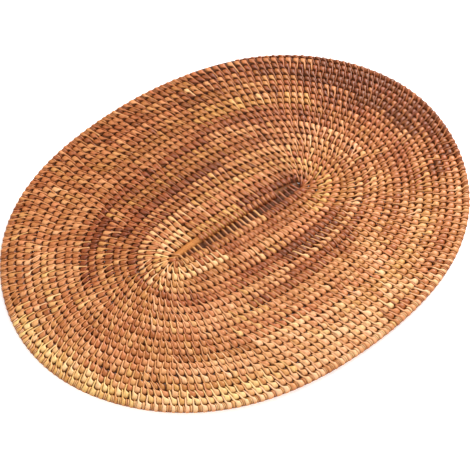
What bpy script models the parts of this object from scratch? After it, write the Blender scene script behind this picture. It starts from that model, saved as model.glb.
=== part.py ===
"""Rattan placemat: a flat oval mat, wound from one long cane round a straight seam.

The mat lies on z = 0, with its middle at the origin, its length along X and its width along Y.
Its upper face rises in one rounded rib for each row of the coil, on both sides of a groove along
the seam. Its rim is half round, and its underside is flat. All sizes are in metres.
"""

import math

import bmesh
import bpy

# Overall size
LENGTH = 0.400
WIDTH = 0.300
THICKNESS = 0.0062

# The coil: a straight seam in the middle, a little out of line, and the rows that go round it
SEAM_LENGTH = 0.124
SEAM_TILT = math.radians(4.5)
SEAM_END_SHARPNESS = 5.0
SEAM_GAP = 0.15  # in rows, on each side of the seam
ROWS = 22
GROOVE_DEPTH = 0.0015
RIB_TOP_HALF_WIDTH = 0.22  # in rows, from a rib's middle to the edge of its flat top

# The oval is hand made, so its edge swells and draws in a little.
# Columns: waves round the edge, and their cosine and sine parts as shares of the radius
SWELLS = (
    (4, -0.0097, -0.0049),
    (3, -0.0008, 0.0012),
    (6, 0.0016, 0.0040),
)

# Mesh steps
STEPS_ROUND = 56
RIM_STEPS = 6

# Finish of the oiled cane
CANE_COLOUR = (0.56, 0.30, 0.13, 1.0)
CANE_ROUGHNESS = 0.5


def clear_scene():
    """Remove whatever the scene holds."""
    for old in list(bpy.data.objects):
        bpy.data.objects.remove(old, do_unlink=True)


def step_turn(step):
    """The angle of a step round the mat, counted from the seam's own direction."""
    return math.tau * step / STEPS_ROUND


def unscaled_edge():
    """The swelling oval's edge points, before they are fitted to the mat's size."""
    points = []
    for step in range(STEPS_ROUND):
        angle = step_turn(step) + SEAM_TILT
        swell = 1.0
        for waves, cosine, sine in SWELLS:
            swell += cosine * math.cos(waves * angle) + sine * math.sin(waves * angle)
        points.append((math.cos(angle) * swell, math.sin(angle) * swell))
    return points


def fitted(values, size):
    """The values, stretched and centred so that they span exactly the size."""
    low, high = min(values), max(values)
    return [(value - (low + high) / 2) * size / (high - low) for value in values]


def edge_points():
    """The mat's outermost points, one for each step round it."""
    rough = unscaled_edge()
    across = fitted([x for x, _ in rough], LENGTH)
    along = fitted([y for _, y in rough], WIDTH)
    return list(zip(across, along))


def seam_point(step):
    """The point of the tilted seam that the rows' spoke of this step starts from."""
    half = SEAM_LENGTH / 2
    reach = math.cos(step_turn(step)) * LENGTH / 2 / half
    squashed = (1 + abs(reach) ** SEAM_END_SHARPNESS) ** (1 / SEAM_END_SHARPNESS)
    place = half * reach / squashed
    return place * math.cos(SEAM_TILT), place * math.sin(SEAM_TILT)


def spoke_point(edge, foot, rows_out):
    """A point on the spoke from the seam to the edge, so many rows out from the seam."""
    share = (rows_out + SEAM_GAP) / (ROWS + SEAM_GAP)
    return foot[0] + share * (edge[0] - foot[0]), foot[1] + share * (edge[1] - foot[1])


def rib_profile():
    """Distance from the seam in rows and height, across all ribs but the rim's outer side."""
    groove = THICKNESS - GROOVE_DEPTH
    profile = []
    for row in range(1, ROWS):
        profile.append((row - 0.5 - RIB_TOP_HALF_WIDTH, THICKNESS))
        profile.append((row - 0.5 + RIB_TOP_HALF_WIDTH, THICKNESS))
        profile.append((row, groove))
    profile.append((ROWS - 0.5 - RIB_TOP_HALF_WIDTH, THICKNESS))
    return profile


def rim_profile():
    """Distance from the seam in rows and height, down the rim's half-round outer side."""
    profile = []
    for step in range(RIM_STEPS + 1):
        turn = math.pi * (0.5 - step / RIM_STEPS)
        profile.append((ROWS - 0.5 + 0.5 * math.cos(turn), THICKNESS / 2 * (1 + math.sin(turn))))
    return profile


def add_seam(mesh):
    """Add the seam's points and return them in step order, shared by both of its sides."""
    half_round = STEPS_ROUND // 2
    one_side = []
    for step in range(half_round + 1):
        x, y = seam_point(step)
        if one_side and abs(one_side[-1].co.x - x) < SEAM_LENGTH / STEPS_ROUND:
            one_side.append(one_side[-1])
        else:
            one_side.append(mesh.verts.new((x, y, THICKNESS - GROOVE_DEPTH)))
    other_side = one_side[half_round - 1:0:-1]
    return one_side + other_side


def add_loops(mesh):
    """Add one closed loop of points for each entry of the two profiles."""
    edge = edge_points()
    feet = [seam_point(step) for step in range(STEPS_ROUND)]
    loops = []
    for rows_out, height in rib_profile() + rim_profile():
        loop = []
        for step in range(STEPS_ROUND):
            x, y = spoke_point(edge[step], feet[step], rows_out)
            loop.append(mesh.verts.new((x, y, height)))
        loops.append(loop)
    return loops


def bridge(mesh, inner, outer):
    """Join two loops of equal length with quads, or triangles where inner points coincide."""
    for step in range(STEPS_ROUND):
        after = (step + 1) % STEPS_ROUND
        corners = [inner[step], outer[step], outer[after], inner[after]]
        if corners[0] is corners[3]:
            corners.pop()
        mesh.faces.new(corners)


def build_mat():
    """Make the whole mat as one closed solid."""
    mesh = bmesh.new()
    loops = [add_seam(mesh)] + add_loops(mesh)
    for inner, outer in zip(loops, loops[1:]):
        bridge(mesh, inner, outer)
    mesh.faces.new(list(reversed(loops[-1])))
    bmesh.ops.recalc_face_normals(mesh, faces=mesh.faces)
    data = bpy.data.meshes.new("rattan_mat")
    mesh.to_mesh(data)
    mesh.free()
    data.shade_smooth()
    data.set_sharp_from_angle(angle=math.radians(50))
    mat = bpy.data.objects.new("rattan_mat", data)
    bpy.context.scene.collection.objects.link(mat)
    return mat


def cane_material():
    """The mat's oiled, honey-coloured cane."""
    material = bpy.data.materials.new("oiled_cane")
    material.use_nodes = True
    shader = material.node_tree.nodes["Principled BSDF"]
    shader.inputs["Base Color"].default_value = CANE_COLOUR
    shader.inputs["Roughness"].default_value = CANE_ROUGHNESS
    shader.inputs["Metallic"].default_value = 0.0
    return material


def main():
    """Clear the scene, build the mat and give it its finish."""
    clear_scene()
    mat = build_mat()
    mat.data.materials.append(cane_material())


main()
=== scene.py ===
"""Looks of an oval rattan placemat: one long cane, wound round a straight seam and bound with strips.

The cane lies in rows. Each row is held to the row inside it by stitches of thin strip: a stitch has
a wide head on its own row and a narrow tail that crosses the row inside it, between two heads. The
last row is the rim, which is wrapped closely. All sizes are in metres and all angles in radians.
"""

import logging
import math
from dataclasses import dataclass, field
from enum import Enum

import bpy
import numpy as np
from mathutils import Matrix, Vector


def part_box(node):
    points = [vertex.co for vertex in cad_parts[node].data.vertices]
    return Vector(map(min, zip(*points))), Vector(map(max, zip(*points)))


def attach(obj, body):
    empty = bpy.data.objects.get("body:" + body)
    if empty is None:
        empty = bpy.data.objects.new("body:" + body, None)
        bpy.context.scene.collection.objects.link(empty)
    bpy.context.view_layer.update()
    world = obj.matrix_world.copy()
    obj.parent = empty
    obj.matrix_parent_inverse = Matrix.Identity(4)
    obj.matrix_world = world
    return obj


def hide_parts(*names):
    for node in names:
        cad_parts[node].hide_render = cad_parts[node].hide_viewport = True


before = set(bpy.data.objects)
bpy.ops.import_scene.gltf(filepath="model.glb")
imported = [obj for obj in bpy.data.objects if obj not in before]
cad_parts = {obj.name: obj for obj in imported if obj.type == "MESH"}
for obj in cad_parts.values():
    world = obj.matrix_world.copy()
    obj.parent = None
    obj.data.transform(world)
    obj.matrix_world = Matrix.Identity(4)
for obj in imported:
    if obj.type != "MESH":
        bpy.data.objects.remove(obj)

LOG = logging.getLogger("rattan_placemat")
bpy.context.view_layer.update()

MAT_NODE = "rattan_mat"
BODY = "root"
MM = 0.001
RANDOM_SEED = 20


def smooth_step(share: np.ndarray) -> np.ndarray:
    """Ease from 0 to 1.

    Args:
        share: how far along the step, clipped to 0 to 1.

    Returns:
        The eased share.
    """
    share = np.clip(share, 0.0, 1.0)
    return share * share * (3.0 - 2.0 * share)


@dataclass(frozen=True)
class Swell:
    """One wave of the hand-made edge."""

    waves: int
    cosine: float
    sine: float


@dataclass(frozen=True)
class Stretch:
    """Frames along the coil: places, directions and spacings."""

    middle: np.ndarray
    forward: np.ndarray
    outward: np.ndarray
    pitch: np.ndarray
    speed: np.ndarray


@dataclass(frozen=True)
class CoilPlan:
    """Where the mat's one long cane runs, seen from above.

    The cane starts above the seam's right end and winds counter-clockwise. In each turn it moves
    out by one row, mostly at the upper right, and it thins away at the rim.
    """

    length: float
    width: float
    seam_length: float = 124 * MM
    seam_middle: tuple[float, float] = (0.0, -0.9 * MM)
    seam_tilt: float = math.radians(4.5)
    seam_sharpness: float = 5.0
    seam_gap: float = 0.2
    rows: int = 22
    start_angle: float = math.radians(66)
    early_share: float = 0.22
    early_from: float = math.radians(235)
    early_span: float = math.radians(110)
    late_from: float = math.radians(372)
    late_span: float = math.radians(85)
    belly_angle: float = math.radians(6)
    belly_sharpness: float = 17.0
    belly_rows: float = 0.78
    belly_growth: float = 0.21
    wobble_rows: float = 0.05
    tip_share: float = 0.12
    swells: tuple[Swell, ...] = (
        Swell(4, -0.0097, -0.0049),
        Swell(3, -0.0008, 0.0012),
        Swell(6, 0.0016, 0.0040),
    )

    def _swollen(self, angle: np.ndarray) -> np.ndarray:
        """The swelling oval before it is fitted to the mat's size."""
        swell = np.ones_like(angle)
        for wave in self.swells:
            swell += wave.cosine * np.cos(wave.waves * angle) + wave.sine * np.sin(wave.waves * angle)
        return np.stack([np.cos(angle) * swell, np.sin(angle) * swell], axis=-1)

    def edge(self, angle: np.ndarray) -> np.ndarray:
        """The mat's outermost points.

        Args:
            angle: angles round the mat, counter-clockwise from its right end.

        Returns:
            Points on the edge, one row of two numbers for each angle.
        """
        whole = self._swollen(np.linspace(0.0, math.tau, 720, endpoint=False))
        low, high = whole.min(axis=0), whole.max(axis=0)
        size = np.array([self.length, self.width])
        return (self._swollen(angle) - (low + high) / 2) * size / (high - low)

    def foot(self, angle: np.ndarray) -> np.ndarray:
        """The seam points that the mat's spokes start from.

        Args:
            angle: angles round the mat.

        Returns:
            Points on the tilted seam.
        """
        half = self.seam_length / 2
        reach = np.cos(angle - self.seam_tilt) * self.length / 2 / half
        along = half * reach / (1 + np.abs(reach) ** self.seam_sharpness) ** (1 / self.seam_sharpness)
        line = np.stack([along * math.cos(self.seam_tilt), along * math.sin(self.seam_tilt)], axis=-1)
        return line + np.array(self.seam_middle)

    def belly(self, rows_out: np.ndarray, angle: np.ndarray) -> np.ndarray:
        """How far the rows lie out above and below the seam, where they hold the wide seam open."""
        side = np.abs(np.sin(angle - self.belly_angle)) ** self.belly_sharpness
        inner = self.belly_rows - self.belly_growth * (1 - smooth_step((rows_out - 2) / 3))
        return side * (inner - self.belly_rows * smooth_step((rows_out - 8) / 13))

    def wobble(self, rows_out: np.ndarray, angle: np.ndarray) -> np.ndarray:
        """The uneven lie of hand-laid rows, in rows, which dies out at the seam and the rim."""
        inner = np.clip(rows_out / 3, 0.0, 1.0) * np.clip((self.rows - 1 - rows_out) / 3, 0.0, 1.0)
        waves = np.sin(5 * angle + 2.1 * rows_out) + np.sin(3 * angle - 1.3 * rows_out + 1)
        return self.wobble_rows * waves * inner

    def edge_rows(self, angle: np.ndarray) -> np.ndarray:
        """How many rows there are from the seam to the edge, a little fewer past the cane's end."""
        turned = angle % math.tau
        late = smooth_step((turned - self.late_from + math.tau) / self.late_span)
        early = smooth_step((turned - self.early_from) / self.early_span)
        return self.rows - self.early_share * late * (1 - early)

    def spot(self, rows_out: np.ndarray, angle: np.ndarray) -> np.ndarray:
        """A place on the mat.

        Args:
            rows_out: distance from the seam in rows.
            angle: angle round the mat.

        Returns:
            Points on the mat.
        """
        place = rows_out + self.belly(rows_out, angle) + self.wobble(rows_out, angle)
        share = (place + self.seam_gap) / (self.edge_rows(angle) + self.seam_gap)
        start = self.foot(angle)
        return start + share[..., None] * (self.edge(angle) - start)

    def shift(self, travel: np.ndarray) -> np.ndarray:
        """How many rows the cane has moved out.

        Args:
            travel: angle wound so far.

        Returns:
            Rows between the seam and the cane's inner side.
        """
        rows_out = -self.early_share
        for begin, span, share in (
            (self.early_from, self.early_span, self.early_share),
            (self.late_from, self.late_span, 1 - self.early_share),
        ):
            since = travel + self.start_angle - begin
            turns = np.floor(since / math.tau)
            moved = turns + smooth_step((since - turns * math.tau) / span)
            rows_out = rows_out + share * np.maximum(moved, 0.0)
        return rows_out

    def room(self, travel: np.ndarray) -> np.ndarray:
        """The share of a whole row that the cane has, 1 but for its tapered end."""
        return np.clip(self.edge_rows(travel + self.start_angle) - self.shift(travel), 0.0, 1.0)

    def centre(self, travel: np.ndarray) -> np.ndarray:
        """The cane's middle line.

        Args:
            travel: angle wound so far.

        Returns:
            Points on the line.
        """
        return self.spot(self.shift(travel) + self.room(travel) / 2, travel + self.start_angle)

    def track(self) -> tuple[np.ndarray, np.ndarray]:
        """Angles wound in small steps, and the length of cane up to each."""
        fine = np.linspace(0.0, self.last_travel(), 60000)
        steps = np.linalg.norm(np.diff(self.centre(fine), axis=0), axis=1)
        return fine, np.concatenate([[0.0], np.cumsum(steps)])

    def last_travel(self) -> float:
        """The angle wound at the cane's tip."""
        begin = self.late_from + (self.rows - 1) * math.tau - self.start_angle
        travel = begin + np.linspace(0.0, self.late_span, 500)
        return float(travel[np.argmin(np.abs(self.room(travel) - self.tip_share))])

    def stretch(self, travel: np.ndarray) -> Stretch:
        """Frames along the cane.

        Args:
            travel: angles wound so far.

        Returns:
            Places, unit directions, row pitch, and metres wound for each radian.
        """
        step = 0.002
        moved = (self.centre(travel + step) - self.centre(travel - step)) / (2 * step)
        speed = np.linalg.norm(moved, axis=-1)
        forward = moved / speed[..., None]
        outward = np.stack([forward[..., 1], -forward[..., 0]], axis=-1)
        rows_out = self.shift(travel) + self.room(travel) / 2
        angle = travel + self.start_angle
        across = (self.spot(rows_out + 0.05, angle) - self.spot(rows_out - 0.05, angle)) / 0.1
        pitch = (across * outward).sum(axis=-1)
        return Stretch(self.centre(travel), forward, outward, pitch, speed)


class Hold(Enum):
    """Where a stitch's tail ends."""

    NONE = "no stitch, the cane is bare"
    WRAP = "in the seam, just past its own cane"
    FAN = "in the seam's end"
    FLANK = "on the near side of the first cane, across the seam"
    GAP = "round the row inside it, between two heads"
    EDGE = "between its own row and the bare cane inside it"


@dataclass(frozen=True)
class Stitch:
    """One stitch of the plan: its head's angle wound, and where and how far past its tail goes."""

    travel: float
    hold: Hold
    through: tuple[float, float]
    past: float


@dataclass
class StitchPlan:
    """The stitches in the order in which they are made, worked out row by row.

    Each stitch's tail goes between two heads of the row inside it. Where a row grows too long for
    its stitches, two of them share one gap. The first turn has its own ways of holding on.
    """

    coil: CoilPlan
    inner_period: float = 4.6 * MM
    outer_period: float = 6.2 * MM
    end_share: float = 0.5
    lean: float = 0.58
    pull: float = 0.3
    nudge_limit: float = 0.2
    unevenness: float = 0.08
    tail_spacing: float = 1.25 * MM
    most_in_gap: int = 3
    near_reach: float = 3.2 * MM
    far_reach: float = 6.0 * MM
    far_from: float = 38 * MM
    wrap_side: float = 0.6 * MM
    wrap_reach: float = 0.55
    least_room: float = 0.3
    double_wraps: float = 0.7
    first_turn: tuple[tuple[float, Hold], ...] = (
        (83.0, Hold.NONE),
        (105.5, Hold.WRAP),
        (120.0, Hold.NONE),
        (247.0, Hold.FAN),
        (301.0, Hold.FLANK),
        (350.0, Hold.NONE),
        (426.0, Hold.FAN),
    )
    stitches: list[Stitch] = field(default_factory=list)

    def period(self, travel: float, rows_out: float) -> float:
        """The wanted distance between two heads at a place on the coil."""
        side = abs(math.sin(self.coil.start_angle + travel))
        share = self.end_share + (1 - self.end_share) * side
        growth = self.outer_period - self.inner_period
        return self.inner_period + growth * share * rows_out / self.coil.rows

    def hold_at(self, travel: float) -> Hold:
        """How the stitch at an angle wound holds on."""
        angle = math.degrees(self.coil.start_angle + travel)
        for until, hold in self.first_turn:
            if angle < until:
                return hold
        inside = angle - 360
        start, wrapped, bare = (until for until, _ in self.first_turn[:3])
        return Hold.EDGE if inside < start or wrapped < inside < bare else Hold.GAP

    def _first(self, travel: float, period: float, hold: Hold) -> Stitch:
        """A stitch of the first turn.

        Args:
            travel: its head's angle wound.
            period: distance to the next head.
            hold: where its tail ends.

        Returns:
            The stitch.
        """
        place = self.coil.stretch(np.array([travel]))
        middle, forward, outward = place.middle[0], place.forward[0], place.outward[0]
        root = self.coil.foot(np.array([travel + self.coil.start_angle]))[0]
        inwards = float(np.dot(middle - root, outward))
        back = self.lean * period
        if hold is Hold.WRAP:
            through = middle - outward * place.pitch[0] * self.wrap_reach - forward * back * 0.2
        elif hold is Hold.FAN:
            through = root - forward * back * 0.35 - outward * 0.6 * MM
        else:
            beyond = self.far_reach if middle[0] > self.far_from else self.near_reach
            through = middle - outward * (inwards + beyond) - forward * back
        return Stitch(travel, hold, tuple(through), 0.0)

    def _across_seam(self, travel: float, period: float, wraps: list[float]) -> float:
        """How far to move a stitch below the seam so that its tail meets a wrap above the seam.

        Args:
            travel: the stitch's angle wound.
            period: distance to the next head.
            wraps: how far right each wrap above the seam lies.

        Returns:
            The distance forward.
        """
        own = self._first(travel, period, Hold.FLANK).through[0]
        away = np.array(wraps) + self.wrap_side - own
        nearest = float(away[np.argmin(np.abs(away))])
        return nearest if abs(nearest) < period * 0.55 else 0.0

    def make(self) -> None:
        """Place every stitch's head and its tail's way."""
        rng = np.random.default_rng(RANDOM_SEED)
        fine, run = self.coil.track()
        marks: list[float] = []
        shared: dict[int, int] = {}
        held: list[tuple[int, int]] = []
        wraps: list[float] = []
        here = 0.0
        gap = 0
        while here < run[-1]:
            travel = float(np.interp(here, run, fine))
            rows_out = float(self.coil.shift(np.array([travel]))[0]) + 0.5
            period = self.period(travel, rows_out)
            step = period * (1 + self.unevenness * rng.normal())
            ahead = here + step
            travel = float(np.interp(ahead, run, fine))
            hold = self.hold_at(travel)
            if hold in (Hold.GAP, Hold.EDGE):
                wanted = float(np.interp(travel - math.tau, fine, run)) - self.lean * period
                while gap + 2 < len(marks) and marks[gap + 1] < wanted:
                    gap += 1
                if shared.get(gap, 0) >= self.most_in_gap and gap + 2 < len(marks):
                    gap += 1
                between = (marks[gap] + marks[gap + 1]) / 2
                if shared.get(gap, 0) == 0:
                    limit = self.nudge_limit * step
                    ahead += self.pull * float(np.clip(between - wanted, -limit, limit))
                held.append((len(self.stitches), gap))
                shared[gap] = shared.get(gap, 0) + 1
                travel = float(np.interp(ahead, run, fine))
                through = float(np.interp(between, run, fine))
                self.stitches.append(Stitch(travel, hold, (through, 0.0), 0.0))
            elif hold is not Hold.NONE:
                if hold is Hold.FLANK:
                    ahead += self._across_seam(travel, period, wraps)
                    travel = float(np.interp(ahead, run, fine))
                self.stitches.append(self._first(travel, period, hold))
                if hold is Hold.WRAP:
                    wraps.append(float(self.coil.centre(np.array([travel]))[0, 0]))
            marks.append(ahead)
            here = ahead
        self._thread(held, shared)
        self.stitches = [stitch for stitch in self.stitches if self._fits(stitch)]

    def _fits(self, stitch: Stitch) -> bool:
        """Whether the cane is thick enough for a stitch, short of its tapered tip."""
        return float(self.coil.room(np.array([stitch.travel]))[0]) > self.least_room

    def narrow_wraps(self) -> np.ndarray:
        """How many narrow wraps follow each stitch: one or two on the last row, none before it."""
        rng = np.random.default_rng(RANDOM_SEED + 5)
        travel = np.array([stitch.travel for stitch in self.stitches])
        wraps = 1 + (rng.random(len(travel)) < self.double_wraps)
        return np.where(travel > self.coil.last_travel() - math.tau, wraps, 0)

    def _thread(self, held: list[tuple[int, int]], shared: dict[int, int]) -> None:
        """Turn the gaps' angles wound into places, side by side where tails share a gap.

        Args:
            held: stitch and gap numbers of the stitches that go through a gap.
            shared: how many stitches each gap holds.
        """
        seen: dict[int, int] = {}
        for index, gap in held:
            stitch = self.stitches[index]
            place = self.coil.stretch(np.array([stitch.through[0]]))
            order = seen.get(gap, 0)
            seen[gap] = order + 1
            aside = (order - (shared[gap] - 1) / 2) * self.tail_spacing
            through = place.middle[0] + place.forward[0] * aside
            past = float(place.pitch[0]) / 2
            if stitch.hold is Hold.EDGE:
                past = -float(place.pitch[0]) / 2 + 0.8 * MM
            self.stitches[index] = Stitch(stitch.travel, stitch.hold, tuple(through), past)


class Field:
    """A value in a node tree that can be reckoned with like a number."""

    def __init__(self, tree: bpy.types.NodeTree, socket: bpy.types.NodeSocket) -> None:
        """Keep the tree and the socket that gives the value."""
        self.tree = tree
        self.socket = socket

    def _math(self, operation: str, *others: "Field | float") -> "Field":
        """Add one math node and return its value."""
        node = self.tree.nodes.new("ShaderNodeMath")
        node.operation = operation
        self.tree.links.new(self.socket, node.inputs[0])
        for index, other in enumerate(others, start=1):
            if isinstance(other, Field):
                self.tree.links.new(other.socket, node.inputs[index])
            else:
                node.inputs[index].default_value = other
        return Field(self.tree, node.outputs[0])

    def __add__(self, other: "Field | float") -> "Field":
        """Sum."""
        return self._math("ADD", other)

    def __sub__(self, other: "Field | float") -> "Field":
        """Difference."""
        return self._math("SUBTRACT", other)

    def __mul__(self, other: "Field | float") -> "Field":
        """Product."""
        return self._math("MULTIPLY", other)

    def at_least(self, other: "Field | float") -> "Field":
        """The larger of the two."""
        return self._math("MAXIMUM", other)

    def at_most(self, other: "Field | float") -> "Field":
        """The smaller of the two."""
        return self._math("MINIMUM", other)

    def size(self) -> "Field":
        """The value without its sign."""
        return self._math("ABSOLUTE")

    def sign(self) -> "Field":
        """Minus one, nought or one."""
        return self._math("SIGN")

    def curved(self, points: tuple[tuple[float, float], ...]) -> "Field":
        """The value read through a curve.

        Args:
            points: places of the curve, from 0 to 1 both ways.

        Returns:
            The curve's height at the value.
        """
        node = self.tree.nodes.new("ShaderNodeFloatCurve")
        curve = node.mapping.curves[0]
        for x, y in points[1:-1]:
            curve.points.new(x, y)
        curve.points[0].location = points[0]
        curve.points[-1].location = points[-1]
        for point in curve.points:
            point.handle_type = "AUTO_CLAMPED"
        node.mapping.update()
        self.tree.links.new(self.socket, node.inputs["Value"])
        return Field(self.tree, node.outputs[0])


class StripTree:
    """A Geometry Nodes tree that bends one band of strip round the cane at each point it is given."""

    def __init__(self, name: str, steps: int, sides: int) -> None:
        """Start the tree with its inputs.

        Args:
            name: the tree's name.
            steps: faces along the band.
            sides: faces round the strip's section.
        """
        self.tree = bpy.data.node_groups.new(name, "GeometryNodeTree")
        face = self.tree.interface
        face.new_socket("Points", in_out="INPUT", socket_type="NodeSocketGeometry")
        self.inputs: dict[str, float] = {}
        face.new_socket("Bands", in_out="OUTPUT", socket_type="NodeSocketGeometry")
        self.steps = steps
        self.sides = sides

    def add_input(self, name: str, value: float) -> None:
        """Add a named size to the tree's inputs."""
        self.tree.interface.new_socket(name, in_out="INPUT", socket_type="NodeSocketFloat")
        self.inputs[name] = value

    def node(self, kind: str, **values: object) -> bpy.types.Node:
        """Add a node.

        Args:
            kind: the node's type.
            values: its settings.

        Returns:
            The node.
        """
        node = self.tree.nodes.new(kind)
        for name, value in values.items():
            setattr(node, name, value)
        return node

    def named(self, name: str, vector: bool = False) -> bpy.types.NodeSocket:
        """The socket of a named attribute."""
        node = self.node("GeometryNodeInputNamedAttribute", data_type="FLOAT_VECTOR" if vector else "FLOAT")
        node.inputs["Name"].default_value = name
        return node.outputs["Attribute"]

    def value(self, name: str) -> Field:
        """A named number of each point as a field."""
        return Field(self.tree, self.named(name))

    def stored(
        self, geometry: bpy.types.NodeSocket, name: str, value: bpy.types.NodeSocket, vector: bool = True
    ) -> bpy.types.NodeSocket:
        """Store a value on the geometry's points under a name, and return the geometry."""
        kind = "FLOAT_VECTOR" if vector else "FLOAT"
        node = self.node("GeometryNodeStoreNamedAttribute", data_type=kind, domain="POINT")
        node.inputs["Name"].default_value = name
        self.tree.links.new(geometry, node.inputs["Geometry"])
        self.tree.links.new(value, node.inputs["Value"])
        return node.outputs["Geometry"]

    def joined(self, x: Field, y: Field, z: Field) -> bpy.types.NodeSocket:
        """Three fields as one vector."""
        node = self.node("ShaderNodeCombineXYZ")
        for socket, part in zip(node.inputs, (x, y, z)):
            self.tree.links.new(part.socket, socket)
        return node.outputs[0]

    def split(self, vector: bpy.types.NodeSocket) -> tuple[Field, Field, Field]:
        """A vector as three fields."""
        node = self.node("ShaderNodeSeparateXYZ")
        self.tree.links.new(vector, node.inputs[0])
        return tuple(Field(self.tree, socket) for socket in node.outputs)

    def vector(self, operation: str, *values: object) -> bpy.types.NodeSocket:
        """Add one vector math node.

        Args:
            operation: what it does.
            values: sockets or fields for its inputs; a field on SCALE goes to the scale.

        Returns:
            The resulting vector's socket.
        """
        node = self.node("ShaderNodeVectorMath", operation=operation)
        for index, value in enumerate(values):
            socket = node.inputs["Scale"] if isinstance(value, Field) else node.inputs[index]
            self.tree.links.new(value.socket if isinstance(value, Field) else value, socket)
        return node.outputs[0]

    def band(self) -> bpy.types.NodeSocket:
        """A closed ring of strip that remembers its place round the ring and in the section."""
        section = 0.1
        ring = self.node("GeometryNodeCurvePrimitiveCircle")
        ring.inputs["Resolution"].default_value = self.steps
        ring.inputs["Radius"].default_value = 1.0
        outline = self.node("GeometryNodeCurvePrimitiveCircle")
        outline.inputs["Resolution"].default_value = self.sides
        outline.inputs["Radius"].default_value = section
        turned = self.node("GeometryNodeTransform")
        turned.inputs["Rotation"].default_value = (0.0, 0.0, math.pi / 2)
        self.tree.links.new(outline.outputs["Curve"], turned.inputs["Geometry"])
        sweep = self.node("GeometryNodeCurveToMesh")
        self.tree.links.new(ring.outputs["Curve"], sweep.inputs["Curve"])
        self.tree.links.new(turned.outputs["Geometry"], sweep.inputs["Profile Curve"])
        place = self.node("GeometryNodeInputPosition").outputs[0]
        x, y, z = self.split(place)
        flat = self.node("ShaderNodeVectorMath", operation="LENGTH")
        self.tree.links.new(self.joined(x, y, z * 0.0), flat.inputs[0])
        out = Field(self.tree, flat.outputs["Value"])
        angle = x._math("DIVIDE", out), y._math("DIVIDE", out)
        rise = (out - 1.0) * (1 / section)
        mesh = self.stored(sweep.outputs["Mesh"], "ring", self.joined(angle[0], angle[1], z * (1 / section)))
        return self.stored(mesh, "rise", rise.socket, vector=False)

    def finish(
        self,
        across: Field,
        aside: Field,
        up: Field,
        fibre: bpy.types.NodeSocket,
        realized: bpy.types.NodeSocket,
        material: bpy.types.Material,
    ) -> None:
        """Move the realized bands to their places and give them their material.

        Args:
            across: distance outwards from the point.
            aside: distance along the row from the point.
            up: height.
            fibre: the strip's own coordinates.
            realized: the bands.
            material: their finish.
        """
        outwards = self.vector("SCALE", self.named("outward", True), across)
        place = self.vector("ADD", self.named("middle", True), outwards)
        place = self.vector("ADD", place, self.vector("SCALE", self.named("forward", True), aside))
        place = self.vector("ADD", place, self.joined(up * 0.0, up * 0.0, up))
        kept = self.stored(realized, "fibre", fibre)
        move = self.node("GeometryNodeSetPosition")
        self.tree.links.new(kept, move.inputs["Geometry"])
        self.tree.links.new(place, move.inputs["Position"])
        smooth = self.node("GeometryNodeSetShadeSmooth")
        self.tree.links.new(move.outputs["Geometry"], smooth.inputs["Geometry"])
        dress = self.node("GeometryNodeSetMaterial")
        dress.inputs["Material"].default_value = material
        self.tree.links.new(smooth.outputs["Geometry"], dress.inputs["Geometry"])
        end = self.node("NodeGroupOutput")
        self.tree.links.new(dress.outputs["Geometry"], end.inputs[0])

    def realized(self) -> bpy.types.NodeSocket:
        """One band for each point, as real faces."""
        self.begin = self.node("NodeGroupInput")
        spread = self.node("GeometryNodeInstanceOnPoints")
        self.tree.links.new(self.begin.outputs["Points"], spread.inputs["Points"])
        self.tree.links.new(self.band(), spread.inputs["Instance"])
        real = self.node("GeometryNodeRealizeInstances")
        self.tree.links.new(spread.outputs["Instances"], real.inputs["Geometry"])
        return real.outputs["Geometry"]

    def size(self, name: str) -> Field:
        """A named size of the tree as a field."""
        return Field(self.tree, self.begin.outputs[name])


def plain_mesh(name: str, points: dict[str, np.ndarray], tree: StripTree) -> bpy.types.Object:
    """Run a strip tree over points and keep the result as a plain mesh object.

    Args:
        name: the new piece's name.
        points: what each point holds; "middle" is its place.
        tree: the tree that makes the bands.

    Returns:
        The piece.
    """
    count = len(points["middle"])
    seed_mesh = bpy.data.meshes.new(name + "_points")
    seed_mesh.vertices.add(count)
    seed_mesh.vertices.foreach_set("co", points["middle"].astype(np.float32).ravel())
    for key, values in points.items():
        kind, slot = ("FLOAT_VECTOR", "vector") if values.ndim == 2 else ("FLOAT", "value")
        attribute = seed_mesh.attributes.new(key, kind, "POINT")
        attribute.data.foreach_set(slot, values.astype(np.float32).ravel())
    piece = bpy.data.objects.new(name, seed_mesh)
    bpy.context.scene.collection.objects.link(piece)
    modifier = piece.modifiers.new("bands", "NODES")
    modifier.node_group = tree.tree
    for item in tree.tree.interface.items_tree:
        if item.item_type == "SOCKET" and item.in_out == "INPUT" and item.name in tree.inputs:
            modifier[item.identifier] = tree.inputs[item.name]
    bpy.context.view_layer.update()
    ready = piece.evaluated_get(bpy.context.evaluated_depsgraph_get())
    mesh = bpy.data.meshes.new_from_object(ready)
    piece.modifiers.clear()
    piece.data = mesh
    bpy.data.meshes.remove(seed_mesh)
    mesh.name = name
    for spare in ("ring", "rise", "middle", "outward", "forward"):
        if spare in mesh.attributes:
            mesh.attributes.remove(mesh.attributes[spare])
    return piece


@dataclass(frozen=True)
class Patch:
    """A stretch of a few rows whose strips have a tone of their own; angles in degrees."""

    row: float
    rows: float
    angle_from: float
    angle_to: float
    shade: float
    warmth: float


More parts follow.
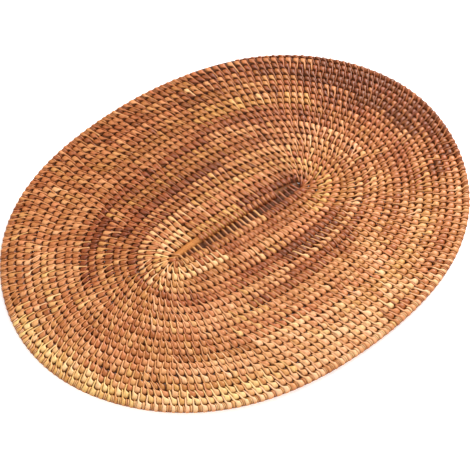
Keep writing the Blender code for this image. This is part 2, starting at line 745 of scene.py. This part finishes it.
PATCHES = (
    Patch(9.5, 3.0, 85, 160, -0.08, -0.08),
    Patch(20.0, 2.2, 5, 62, -0.10, -0.05),
    Patch(11.3, 0.9, 92, 122, -0.26, -0.25),
    Patch(10.9, 0.9, 122, 156, -0.28, -0.35),
    Patch(7.2, 0.9, 84, 122, -0.26, -0.25),
    Patch(8.6, 0.7, 78, 108, -0.06, 0.20),
    Patch(9.7, 0.6, 88, 112, 0.02, 0.35),
    Patch(14.6, 1.1, 50, 98, 0.08, 0.32),
    Patch(16.6, 1.1, 0, 34, -0.30, -0.12),
    Patch(19.5, 2.6, 335, 60, -0.12, -0.10),
    Patch(5.0, 1.2, 150, 205, 0.24, 0.05),
    Patch(3.2, 1.0, 120, 235, 0.12, 0.18),
    Patch(3.0, 1.4, 350, 75, 0.06, 0.28),
    Patch(13.4, 0.8, 316, 360, 0.00, 0.30),
    Patch(18.5, 3.4, 238, 300, 0.16, 0.05),
    Patch(20.6, 0.9, 175, 250, 0.14, 0.12),
    Patch(6.0, 1.2, 122, 152, -0.20, -0.30),
    Patch(9.0, 1.2, 268, 300, -0.20, -0.22),
    Patch(5.6, 0.9, 262, 290, -0.20, -0.25),
    Patch(6.0, 1.2, 325, 360, -0.20, -0.15),
    Patch(1.2, 0.8, 66, 84, -0.28, -0.30),
    Patch(12.3, 0.9, 60, 100, -0.12, -0.10),
    Patch(17.5, 1.5, 300, 335, 0.10, 0.05),
    Patch(2.0, 1.2, 95, 120, 0.02, 0.25),
)


@dataclass(frozen=True)
class ToneMap:
    """The tones of the strips: each strip lasts for some stitches before the next one begins."""

    coil: CoilPlan
    strip_stitches: tuple[int, int] = (5, 24)
    middle_shade: float = 0.5
    darker_towards: float = math.radians(45)
    far_side_darkening: float = 0.17
    patch_strength: float = 1.35
    patches: tuple[Patch, ...] = PATCHES

    def _strip(self, row: float, angle: float) -> tuple[float, float]:
        """What the darkening towards the upper right and the patches add to a strip's shade and warmth."""
        # Darker towards the upper right and with each row out: partly the strips' own tone, partly painted
        # shade for the light falling off across the mat.
        away = math.cos(math.radians(angle) - self.darker_towards)
        shade = -self.far_side_darkening * away * row / self.coil.rows
        warmth = 0.0
        for patch in self.patches:
            turned = (angle - patch.angle_from) % 360 < (patch.angle_to - patch.angle_from) % 360.001
            if turned and abs(row - patch.row) < patch.rows:
                shade += patch.shade * self.patch_strength
                warmth += patch.warmth
        return shade, warmth

    def tones(self, travel: np.ndarray, salt: int) -> tuple[np.ndarray, np.ndarray]:
        """Shade and warmth of each stitch.

        Args:
            travel: the stitches' angles wound.
            salt: added to the seed.

        Returns:
            Shade, from dark to pale, and warmth, from reddish through tan to golden.
        """
        rng = np.random.default_rng(RANDOM_SEED + salt)
        shade = np.zeros(len(travel))
        warmth = np.zeros(len(travel))
        angle = np.degrees(self.coil.start_angle + travel) % 360
        rows_out = self.coil.shift(travel) + 0.5
        start = 0
        while start < len(travel):
            end = min(start + int(rng.integers(*self.strip_stitches)), len(travel))
            middle = (start + end) // 2
            more = self._strip(float(rows_out[middle]), float(angle[middle]))
            shade[start:end] = rng.normal(self.middle_shade, 0.11) + more[0]
            warmth[start:end] = rng.normal(0.5, 0.16) + more[1]
            start = end
        shade += rng.normal(0.0, 0.10, len(travel))
        warmth += rng.normal(0.0, 0.13, len(travel))
        return np.clip(shade, 0.0, 1.0), np.clip(warmth, 0.0, 1.0)


def flat3(points: np.ndarray) -> np.ndarray:
    """Points of the plane with a height of nought."""
    return np.concatenate([points, np.zeros((len(points), 1))], axis=1)


@dataclass
class Stitching:
    """All the stitches that hold the rows together."""

    plan: StitchPlan
    tones: ToneMap
    thickness: float
    tail_half: float = 0.72 * MM
    widest_head: float = 2.5 * MM
    strip: float = 0.5 * MM
    side_gap: float = 0.1 * MM
    narrow: float = 1.35 * MM
    head_lean: float = 0.35
    steepest: float = 0.9
    slope_spread: float = 0.04
    steps: int = 24
    top_steps: int = 18
    sides: int = 6
    names: tuple[str, ...] = (
        "stitches_heart",
        "stitches_inner",
        "stitches_middle",
        "stitches_wide",
        "stitches_outer",
        "stitches_last",
    )

    def points(self) -> dict[str, np.ndarray]:
        """Everything that each stitch's point holds."""
        rng = np.random.default_rng(RANDOM_SEED + 1)
        stitches = self.plan.stitches
        travel = np.array([stitch.travel for stitch in stitches])
        through = np.array([stitch.through for stitch in stitches])
        past = np.array([stitch.past for stitch in stitches])
        rows_out = self.plan.coil.shift(travel) + 0.5
        place = self.plan.coil.stretch(travel)
        before = np.linalg.norm(np.diff(place.middle, axis=0, prepend=place.middle[:1]), axis=1)
        after = np.append(before[1:], before[-1])
        period = np.array([self.plan.period(*pair) for pair in zip(travel, rows_out)])
        spacing = np.minimum((before + after) / 2, period * 1.12)
        spacing = np.where(before < 0.5 * MM, period, spacing)
        head = np.clip((spacing - 2 * self.tail_half) / 2 + 0.12 * MM, 0.9 * MM, self.widest_head)
        head = head * rng.uniform(0.9, 1.06, len(travel))
        narrow = self.plan.narrow_wraps()
        beside = (narrow + np.roll(narrow, 1)) / 2 * self.narrow
        head = np.where(narrow > 0, np.clip((spacing - beside) / 2 - 0.1 * MM, 0.8 * MM, 2.6 * MM), head)
        tail = self.tail_half * rng.uniform(0.85, 1.15, len(travel))
        gap = through - place.middle
        inwards = np.maximum(-(gap * place.outward).sum(axis=1), 1.5 * MM)
        sideways = (gap * place.forward).sum(axis=1)
        slope = np.clip((sideways + head - tail) / inwards, -self.steepest, self.steepest)
        slope = slope + rng.normal(0.0, self.slope_spread, len(travel))
        shade, warmth = self.tones.tones(travel, 2)
        room = self.plan.coil.room(travel)
        wrapped = np.array([stitch.hold is Hold.WRAP for stitch in stitches])
        crossing = np.array([stitch.hold is Hold.FLANK for stitch in stitches])
        shade = np.where(wrapped, np.clip(shade - 0.05, 0.3, 0.5), shade)
        warmth = np.where(wrapped, 0.45, warmth)
        tail = np.where(crossing, tail * 1.2, tail)
        return {
            "middle": flat3(place.middle),
            "outward": flat3(place.outward),
            "forward": flat3(place.forward),
            "head": head,
            "tail": tail,
            "slope": slope,
            "reach_out": place.pitch * room / 2 - self.side_gap,
            "reach_in": inwards + past,
            "lift": rng.uniform(0.86, 1.0, len(travel)) * (0.4 + 0.6 * room),
            "shade": shade,
            "warmth": warmth,
            "strand": rng.uniform(0.0, 1.0, len(travel)),
        }

    def tree(self, material: bpy.types.Material) -> StripTree:
        """The tree that bends a band into a stitch with a wide head and a narrow tail.

        Args:
            material: the strip's finish.

        Returns:
            The tree.
        """
        made = StripTree("stitch_bands", self.steps, self.sides)
        made.add_input("Half thickness of the mat", self.thickness / 2)
        made.add_input("Thickness of the strip", self.strip)
        real = made.realized()
        x, y, side = made.split(made.named("ring", True))
        side = side * -1.0
        rise = made.value("rise").at_least(-0.3)
        half = made.size("Half thickness of the mat")
        strip = made.size("Thickness of the strip")
        top_share = self.top_steps / self.steps
        turned = (y._math("ARCTAN2", x) * (1 / math.tau) + 1.0)._math("FRACT")
        above = turned.at_most(top_share) * (math.pi / top_share)
        below = (turned - top_share).at_least(0.0) * (math.pi / (1 - top_share))
        turn = (above + below)._math("COSINE")
        over = (above + below)._math("SINE").sign()
        share = (turn + 1.0) * 0.5
        tail = made.value("tail")
        head = made.value("head")
        reach_out = made.value("reach_out")
        reach_in = made.value("reach_in")
        across = (reach_out + reach_in) * share - reach_in
        from_outer = (reach_out - across)._math("DIVIDE", reach_out) * 0.25
        from_inner = (across + reach_in)._math("DIVIDE", reach_out)
        outer = from_outer.at_most(1.0).curved(
            (
                (0.0, 0.0), (0.008, 0.36), (0.03, 0.64), (0.07, 0.84), (0.13, 0.96), (0.22, 1.0),
                (0.36, 0.99), (0.44, 0.94), (0.5, 0.9), (0.56, 0.91), (0.66, 0.94), (0.76, 0.95),
                (1.0, 0.95),
            )
        )
        inner = from_inner.at_most(1.0).curved(
            ((0.0, 0.0), (0.03, 0.36), (0.12, 0.64), (0.3, 0.86), (0.55, 0.97), (1.0, 1.0))
        )
        broad = from_outer.at_most(1.0).curved(
            (
                (0.0, 0.8), (0.03, 0.92), (0.08, 1.0), (0.33, 1.0), (0.37, 0.9), (0.405, 0.4),
                (0.44, 0.08), (0.48, 0.0), (1.0, 0.0),
            )
        )
        height = outer * inner
        width = tail + (head - tail) * broad
        leaning = across.at_most(0.0) + across.at_least(0.0) * self.head_lean
        aside = leaning * -1.0 * made.value("slope") - (head - width) + side * width
        bend = rise * strip
        level = (height * height * -1.0 + 1.0).at_least(0.0)._math("SQRT")
        up = half + over * height * (half - strip) * made.value("lift") + bend * over * height
        across = across + bend * level * turn.sign()
        fibre = made.joined(across * 1000.0, side * width * 1000.0, made.value("strand") * 40.0 + over)
        made.finish(across, aside, up, fibre, real, material)
        return made

    def build(self, points: dict[str, np.ndarray], material: bpy.types.Material) -> list[bpy.types.Object]:
        """Make the stitches in a few pieces, from the seam to the rim.

        Args:
            points: what each stitch's point holds.
            material: the strip's finish.

        Returns:
            The pieces.
        """
        tree = self.tree(material)
        count = len(points["middle"])
        cuts = np.linspace(0, count, len(self.names) + 1).astype(int)
        pieces = []
        for name, low, high in zip(self.names, cuts, cuts[1:]):
            part = {key: values[low:high] for key, values in points.items()}
            pieces.append(plain_mesh(name, part, tree))
        return pieces


@dataclass
class Rim:
    """The narrow wraps between the stitches of the last row."""

    plan: StitchPlan
    tones: ToneMap
    thickness: float
    strip: float = 0.5 * MM
    side_gap: float = 0.05 * MM
    head_lean: float = 0.35
    steps: int = 18
    sides: int = 6

    def points(self, stitches: dict[str, np.ndarray]) -> dict[str, np.ndarray]:
        """Everything that each wrap's point holds.

        Args:
            stitches: what each stitch's point holds.

        Returns:
            The wraps' points.
        """
        rng = np.random.default_rng(RANDOM_SEED + 6)
        travel = np.array([stitch.travel for stitch in self.plan.stitches])
        speed = self.plan.coil.stretch(travel).speed
        begin = travel + stitches["head"] / speed
        end = np.roll(travel - stitches["head"] / speed, -1)
        narrow = self.plan.narrow_wraps()
        narrow[-1] = 0
        places, widths, leans = [], [], []
        for index in np.flatnonzero(narrow):
            width = (end[index] - begin[index]) / narrow[index]
            for order in range(narrow[index]):
                places.append(begin[index] + (order + 0.5) * width)
                widths.append(width * speed[index])
                leans.append(-stitches["slope"][index])
        travel = np.array(places)
        place = self.plan.coil.stretch(travel)
        room = self.plan.coil.room(travel)
        shade, warmth = self.tones.tones(travel, 7)
        return {
            "middle": flat3(place.middle),
            "outward": flat3(place.outward),
            "forward": flat3(place.forward),
            "head": np.clip(np.array(widths) / 2 - 0.1 * MM, 0.4 * MM, 1.2 * MM),
            "reach_out": place.pitch * room / 2 - self.side_gap,
            "lift": (0.35 + 0.65 * room) * rng.uniform(0.88, 1.0, len(travel)),
            "lean": np.array(leans),
            "shade": shade,
            "warmth": warmth,
            "strand": rng.uniform(0.0, 1.0, len(travel)),
        }

    def tree(self, material: bpy.types.Material) -> StripTree:
        """The tree that closes a band round the rim.

        Args:
            material: the strip's finish.

        Returns:
            The tree.
        """
        made = StripTree("rim_bands", self.steps, self.sides)
        made.add_input("Half thickness of the mat", self.thickness / 2)
        made.add_input("Thickness of the strip", self.strip)
        real = made.realized()
        turn, over, side = made.split(made.named("ring", True))
        side = side * -1.0
        rise = made.value("rise").at_least(-0.3)
        half = made.size("Half thickness of the mat")
        strip = made.size("Thickness of the strip")
        bend = rise * strip
        height = over.size()._math("POWER", 0.8) * over.sign()
        across = turn * (made.value("reach_out") - strip) + bend * turn
        leaning = across.at_most(0.0) + across.at_least(0.0) * self.head_lean
        aside = side * made.value("head") + leaning * made.value("lean")
        up = half + height * (half - strip) * made.value("lift") + bend * over
        fibre = made.joined(over * 4.0, side * made.value("head") * 1000.0, made.value("strand") * 40.0)
        made.finish(across, aside, up, fibre, real, material)
        return made

    def build(self, stitches: dict[str, np.ndarray], material: bpy.types.Material) -> bpy.types.Object:
        """Make the rim's narrow wraps as one piece.

        Args:
            stitches: what each stitch's point holds.
            material: the strip's finish.

        Returns:
            The piece.
        """
        return plain_mesh("rim_wrapping", self.points(stitches), self.tree(material))


@dataclass(frozen=True)
class BareTone:
    """How orange the bare cane is at an angle round the mat, on the first turn; nought leaves the cane its
    dark colour, which is painted shade in the holes.
    """

    angle: float
    tone: float


@dataclass
class Core:
    """The long cane itself, which shows in the holes and along the seam, with a dark sheet of painted shadow
    in the seam.
    """

    coil: CoilPlan
    thickness: float
    step: float = 4.4 * MM
    sides: int = 8
    # Size of the dark sheet in the seam, which is painted shadow.
    seam_shadow_half_width: float = 5.4 * MM
    seam_shadow_extra: float = 3 * MM
    half_height: float = 2.3 * MM
    sunk_start: float = 0.35
    sunk_until: float = 68.0
    sunk_span: float = 14.0
    bare_tones: tuple[BareTone, ...] = (
        BareTone(66.0, 0.0),
        BareTone(80.0, 0.05),
        BareTone(86.0, 0.5),
        BareTone(104.0, 0.8),
        BareTone(108.0, 1.0),
        BareTone(118.0, 0.9),
        BareTone(124.0, 0.2),
        BareTone(288.0, 0.0),
        BareTone(300.0, 0.8),
        BareTone(330.0, 0.9),
        BareTone(350.0, 0.3),
        BareTone(370.0, 0.0),
    )

    def _rings(self, travel: np.ndarray) -> tuple[np.ndarray, np.ndarray]:
        """The cane's section at each angle wound, and its bare tone."""
        place = self.coil.stretch(travel)
        half = place.pitch * self.coil.room(travel) / 2
        turn = np.linspace(0.0, math.tau, self.sides, endpoint=False)
        angle = np.degrees(travel + self.coil.start_angle)
        risen = smooth_step((angle - self.sunk_until) / self.sunk_span)
        sunk = self.sunk_start + (1 - self.sunk_start) * risen
        rise = np.minimum(self.half_height, half * 0.85) * sunk
        points = np.zeros((len(travel), self.sides, 3))
        aside = half[:, None] * np.cos(turn)
        points[:, :, :2] = place.middle[:, None] - place.outward[:, None] * aside[..., None]
        points[:, :, 2] = self.thickness / 2 + rise[:, None] * np.sin(turn)
        known = [bare.angle for bare in self.bare_tones]
        return points, np.interp(angle, known, [bare.tone for bare in self.bare_tones])

    def _painted_seam_shadow(self, count: int = 40) -> tuple[np.ndarray, np.ndarray]:
        """A flat dark sheet in the seam, under the stitches: painted shadow, where the seam's gap is dark
        only from shade.
        """
        along = np.linspace(-1.0, 1.0, count)
        axis = np.array([math.cos(self.coil.seam_tilt), math.sin(self.coil.seam_tilt)])
        aside = np.array([axis[1], -axis[0]])
        reach = self.coil.seam_length / 2 + self.seam_shadow_extra
        line = along[:, None] * axis * reach + np.array(self.coil.seam_middle)
        taper = np.sqrt(np.clip(1 - np.abs(along) ** 14, 0.04, 1.0))
        turn = np.linspace(0.0, math.tau, self.sides, endpoint=False)
        points = np.zeros((count, self.sides, 3))
        across = self.seam_shadow_half_width * taper[:, None] * np.cos(turn)
        points[:, :, :2] = line[:, None] - aside * across[..., None]
        points[:, :, 2] = self.thickness * 0.38 + 0.9 * MM * taper[:, None] * np.sin(turn)
        return points, np.zeros(count)

    def build(self, material: bpy.types.Material) -> bpy.types.Object:
        """Sweep the cane's section along the coil, and the dark painted-shadow sheet along the seam.

        Args:
            material: the cane's finish.

        Returns:
            The piece.
        """
        fine, run = self.coil.track()
        travel = np.interp(np.linspace(0.0, run[-1], int(run[-1] / self.step)), run, fine)
        points = []
        faces = []
        tones = []
        # The second sweep is the seam's painted shadow, in the cane's dark colour.
        for rows, tone in (self._rings(travel), self._painted_seam_shadow()):
            first = sum(len(part) for part in points)
            rings = first + np.arange(len(rows) * self.sides).reshape(len(rows), self.sides)
            ahead = np.roll(rings, -1, axis=1)
            quads = np.stack([rings[:-1], ahead[:-1], ahead[1:], rings[1:]], axis=-1).reshape(-1, 4)
            faces += quads.tolist() + [rings[0].tolist()[::-1], rings[-1].tolist()]
            points.append(rows.reshape(-1, 3))
            tones.append(np.repeat(tone, self.sides))
        mesh = bpy.data.meshes.new("cane_coil")
        mesh.from_pydata(np.concatenate(points).tolist(), [], faces)
        mesh.shade_smooth()
        bare = mesh.attributes.new("bare", "FLOAT", "POINT")
        bare.data.foreach_set("value", np.concatenate(tones).astype(np.float32))
        mesh.materials.append(material)
        piece = bpy.data.objects.new("cane_coil", mesh)
        bpy.context.scene.collection.objects.link(piece)
        return piece


Stops = tuple[tuple[float, tuple[float, float, float]], ...]


class Shader:
    """A material that is written as named nodes."""

    def __init__(self, name: str) -> None:
        """Start a material with its Principled shader."""
        self.material = bpy.data.materials.new(name)
        self.material.use_nodes = True
        self.tree = self.material.node_tree
        self.principled = self.tree.nodes["Principled BSDF"]

    def node(self, kind: str, **values: object) -> bpy.types.Node:
        """Add a node with its settings."""
        node = self.tree.nodes.new(kind)
        for name, value in values.items():
            setattr(node, name, value)
        return node

    def link(self, start: bpy.types.NodeSocket, end: bpy.types.NodeSocket) -> None:
        """Join two sockets."""
        self.tree.links.new(start, end)

    def attribute(self, name: str, part: str = "Fac") -> bpy.types.NodeSocket:
        """A mesh attribute's socket."""
        node = self.node("ShaderNodeAttribute", attribute_name=name)
        return node.outputs[part]

    def ramp(self, value: bpy.types.NodeSocket, stops: Stops) -> bpy.types.NodeSocket:
        """Read a value through a colour ramp.

        Args:
            value: the value's socket.
            stops: places and colours.

        Returns:
            The colour's socket.
        """
        node = self.node("ShaderNodeValToRGB")
        band = node.color_ramp
        band.elements[0].position = stops[0][0]
        band.elements[0].color = (*stops[0][1], 1.0)
        band.elements[1].position = stops[-1][0]
        band.elements[1].color = (*stops[-1][1], 1.0)
        for place, colour in stops[1:-1]:
            element = band.elements.new(place)
            element.color = (*colour, 1.0)
        self.link(value, node.inputs["Fac"])
        return node.outputs["Color"]

    def noise(
        self, vector: bpy.types.NodeSocket, scale: tuple[float, float, float], detail: float
    ) -> bpy.types.NodeSocket:
        """Noise over a stretched vector.

        Args:
            vector: the coordinates' socket.
            scale: how much each axis is stretched.
            detail: the noise's octaves.

        Returns:
            The noise's value.
        """
        stretch = self.node("ShaderNodeMapping")
        stretch.inputs["Scale"].default_value = scale
        self.link(vector, stretch.inputs["Vector"])
        node = self.node("ShaderNodeTexNoise")
        node.inputs["Scale"].default_value = 1.0
        node.inputs["Detail"].default_value = detail
        self.link(stretch.outputs["Vector"], node.inputs["Vector"])
        return node.outputs["Fac"]

    def math(self, operation: str, first: object, second: object) -> bpy.types.NodeSocket:
        """Reckon with two sockets or numbers."""
        node = self.node("ShaderNodeMath", operation=operation)
        for socket, value in zip(node.inputs, (first, second)):
            if isinstance(value, bpy.types.NodeSocket):
                self.link(value, socket)
            else:
                socket.default_value = value
        return node.outputs[0]

    def mix(
        self, share: object, first: bpy.types.NodeSocket, second: object, blend: str = "MIX"
    ) -> bpy.types.NodeSocket:
        """Mix two colours.

        Args:
            share: a socket or number.
            first: the first colour's socket.
            second: the second colour, a socket or three numbers.
            blend: how they are mixed.

        Returns:
            The mixed colour.
        """
        node = self.node("ShaderNodeMix", data_type="RGBA", blend_type=blend)
        if isinstance(share, bpy.types.NodeSocket):
            self.link(share, node.inputs["Factor"])
        else:
            node.inputs["Factor"].default_value = share
        self.link(first, node.inputs[6])
        if isinstance(second, bpy.types.NodeSocket):
            self.link(second, node.inputs[7])
        else:
            node.inputs[7].default_value = (*second, 1.0)
        return node.outputs[2]


@dataclass(frozen=True)
class StripFinish:
    """Thin oiled cane strip: satin, with fine fibres along it, and painted shade in its low places."""

    roughness: float = 0.42
    gleam: float = 0.3
    coat: float = 0.06
    grain: float = 0.3
    blotch: float = 0.5
    thickness: float = 0.0062

    def material(self) -> bpy.types.Material:
        """The strip's material."""
        shader = Shader("oiled_strip")
        shade = shader.attribute("shade")
        warmth = shader.attribute("warmth")
        fibre = shader.attribute("fibre", "Vector")
        grain = shader.noise(fibre, (0.25, 5.0, 1.0), 4.0)
        blotch = shader.noise(fibre, (0.3, 1.0, 1.0), 2.0)
        toned = shade
        for pattern, strength in ((grain, self.grain), (blotch, self.blotch)):
            change = shader.math("MULTIPLY", shader.math("SUBTRACT", pattern, 0.5), strength)
            toned = shader.math("ADD", toned, change)
        base = shader.ramp(
            toned,
            (
                (0.0, (0.16, 0.036, 0.006)),
                (0.25, (0.30, 0.082, 0.018)),
                (0.5, (0.46, 0.165, 0.050)),
                (0.75, (0.62, 0.29, 0.115)),
                (1.0, (0.78, 0.47, 0.25)),
            ),
        )
        tint = shader.ramp(
            warmth,
            ((0.0, (1.0, 0.84, 0.86)), (0.5, (1.0, 1.0, 1.0)), (1.0, (0.97, 1.09, 0.78))),
        )
        colour = shader.mix(1.0, base, tint, "MULTIPLY")
        # Painted shade: the strip's colour darkens towards the mat's mid-height, in the grooves and holes
        # between rows and down the strips' sides, where shade falls.
        place = shader.node("ShaderNodeTexCoord").outputs["Object"]
        parts = shader.node("ShaderNodeSeparateXYZ")
        shader.link(place, parts.inputs[0])
        above = shader.math("SUBTRACT", parts.outputs["Z"], self.thickness / 2)
        low = shader.math("DIVIDE", shader.math("ABSOLUTE", above, 0.0), self.thickness / 2)
        painted_groove_shade = shader.ramp(
            low,
            ((0.1, (0.62, 0.33, 0.12)), (0.5, (0.85, 0.66, 0.45)), (0.8, (1.0, 1.0, 1.0))),
        )
        colour = shader.mix(1.0, colour, painted_groove_shade, "MULTIPLY")
        shader.link(colour, shader.principled.inputs["Base Color"])
        shader.principled.inputs["Specular IOR Level"].default_value = self.gleam
        shader.principled.inputs["Coat Weight"].default_value = self.coat
        shader.principled.inputs["Coat Roughness"].default_value = 0.3
        rough = shader.math("ADD", shader.math("MULTIPLY", grain, 0.16), self.roughness - 0.08)
        shader.link(rough, shader.principled.inputs["Roughness"])
        bump = shader.node("ShaderNodeBump")
        bump.inputs["Strength"].default_value = 0.5
        bump.inputs["Distance"].default_value = 0.0001
        shader.link(grain, bump.inputs["Height"])
        shader.link(bump.outputs["Normal"], shader.principled.inputs["Normal"])
        return shader.material


@dataclass(frozen=True)
class CaneFinish:
    """The round cane: glossy and orange-brown where it is bare; its dark colour elsewhere is painted shade
    for the holes between stitches.
    """

    roughness: float = 0.45
    gleam: float = 0.2

    def material(self) -> bpy.types.Material:
        """The cane's material."""
        shader = Shader("round_cane")
        place = shader.node("ShaderNodeTexCoord").outputs["Object"]
        grain = shader.noise(place, (300.0, 1500.0, 900.0), 3.0)
        # Dark colour: painted shade, where the cane shows in the holes and the seam.
        dark = shader.ramp(grain, ((0.3, (0.07, 0.018, 0.004)), (0.7, (0.13, 0.038, 0.010))))
        bright = shader.ramp(grain, ((0.3, (0.36, 0.12, 0.03)), (0.7, (0.56, 0.23, 0.06))))
        colour = shader.mix(shader.attribute("bare"), dark, bright)
        shader.link(colour, shader.principled.inputs["Base Color"])
        shader.principled.inputs["Roughness"].default_value = self.roughness
        shader.principled.inputs["Specular IOR Level"].default_value = self.gleam
        bump = shader.node("ShaderNodeBump")
        bump.inputs["Strength"].default_value = 0.3
        bump.inputs["Distance"].default_value = 0.0001
        shader.link(grain, bump.inputs["Height"])
        shader.link(bump.outputs["Normal"], shader.principled.inputs["Normal"])
        return shader.material


@dataclass(frozen=True)
class FloorFinish:
    """A plain pale floor."""

    glow: float = 0.4

    def material(self) -> bpy.types.Material:
        """The floor's material."""
        shader = Shader("pale_floor")
        shader.principled.inputs["Base Color"].default_value = (0.95, 0.95, 0.95, 1.0)
        shader.principled.inputs["Roughness"].default_value = 0.9
        shader.principled.inputs["Emission Color"].default_value = (1.0, 1.0, 1.0, 1.0)
        shader.principled.inputs["Emission Strength"].default_value = self.glow
        return shader.material


class Lamp(Enum):
    """The studio's lamps, all aimed at the mat: place, size, power and colour."""

    KEY = ((1.5, 0.75, 1.4), 0.9, 75.0, (1.0, 0.97, 0.93))
    FRONT = ((-0.2, -2.0, 1.5), 1.2, 20.0, (1.0, 0.99, 0.97))
    LEFT = ((-1.8, 0.6, 1.2), 1.2, 12.0, (1.0, 1.0, 1.0))


@dataclass
class Studio:
    """Floor, lamps and camera."""

    azimuth: float = math.radians(-32.88)
    elevation: float = math.radians(60.12)
    roll: float = math.radians(2.11)
    distance: float = 1.2528
    lens: float = 118.7
    aim: tuple[float, float, float] = (-0.00851, -0.00833, 0.003)
    floor_size: float = 6.0
    world_light: float = 0.46

    def floor(self) -> bpy.types.Object:
        """A plain pale floor under the mat."""
        half = self.floor_size / 2
        corners = [(-half, -half, 0.0), (half, -half, 0.0), (half, half, 0.0), (-half, half, 0.0)]
        mesh = bpy.data.meshes.new("floor")
        mesh.from_pydata(corners, [], [(0, 1, 2, 3)])
        mesh.materials.append(FloorFinish().material())
        floor = bpy.data.objects.new("floor", mesh)
        bpy.context.scene.collection.objects.link(floor)
        return floor

    def lamps(self) -> None:
        """Soft lamps round the mat and an even pale sky."""
        for lamp in Lamp:
            spot, size, power, colour = lamp.value
            light = bpy.data.lights.new(lamp.name.lower(), "AREA")
            light.size = size
            light.energy = power
            light.color = colour
            holder = bpy.data.objects.new(lamp.name.lower(), light)
            holder.location = spot
            holder.rotation_euler = Vector(spot).to_track_quat("Z", "Y").to_euler()
            bpy.context.scene.collection.objects.link(holder)
        world = bpy.data.worlds.new("pale_sky")
        world.use_nodes = True
        sky = world.node_tree.nodes["Background"]
        sky.inputs["Color"].default_value = (1.0, 1.0, 1.0, 1.0)
        sky.inputs["Strength"].default_value = self.world_light
        bpy.context.scene.world = world

    def camera(self) -> None:
        """The camera at the photograph's angle."""
        back = Vector(
            (
                math.sin(self.azimuth) * math.cos(self.elevation),
                -math.cos(self.azimuth) * math.cos(self.elevation),
                math.sin(self.elevation),
            )
        )
        right = Vector((0.0, 0.0, 1.0)).cross(back).normalized()
        up = back.cross(right)
        turned_right = right * math.cos(self.roll) + up * math.sin(self.roll)
        turned_up = up * math.cos(self.roll) - right * math.sin(self.roll)
        axes = Matrix((turned_right, turned_up, back)).transposed().to_4x4()
        data = bpy.data.cameras.new("camera")
        data.lens = self.lens
        data.sensor_width = 36.0
        data.clip_start = 0.05
        holder = bpy.data.objects.new("camera", data)
        holder.matrix_world = Matrix.Translation(Vector(self.aim) + back * self.distance) @ axes
        bpy.context.scene.collection.objects.link(holder)
        bpy.context.scene.camera = holder

    def build(self) -> None:
        """Set up everything but the mat."""
        self.floor()
        self.lamps()
        self.camera()
        view = bpy.context.scene.view_settings
        view.view_transform = "Standard"
        view.look = "None"


def main() -> None:
    logging.basicConfig(level=logging.INFO, format="%(name)s: %(message)s")
    low, high = (np.array(corner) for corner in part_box(MAT_NODE))
    length, width, thickness = high - low
    Studio().build()
    coil = CoilPlan(length=float(length), width=float(width))
    tones = ToneMap(coil)
    plan = StitchPlan(coil)
    plan.make()
    LOG.info("%d stitches planned", len(plan.stitches))
    strip = StripFinish(thickness=float(thickness)).material()
    core = Core(coil, float(thickness)).build(CaneFinish().material())
    stitching = Stitching(plan, tones, float(thickness))
    points = stitching.points()
    stitches = stitching.build(points, strip)
    rim = Rim(plan, tones, float(thickness)).build(points, strip)
    for piece in [core, *stitches, rim]:
        piece.data.calc_loop_triangles()
        LOG.info("%s: %d triangles", piece.name, len(piece.data.loop_triangles))
        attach(piece, BODY)
        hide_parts(MAT_NODE)


if __name__ == "__main__":
    main()
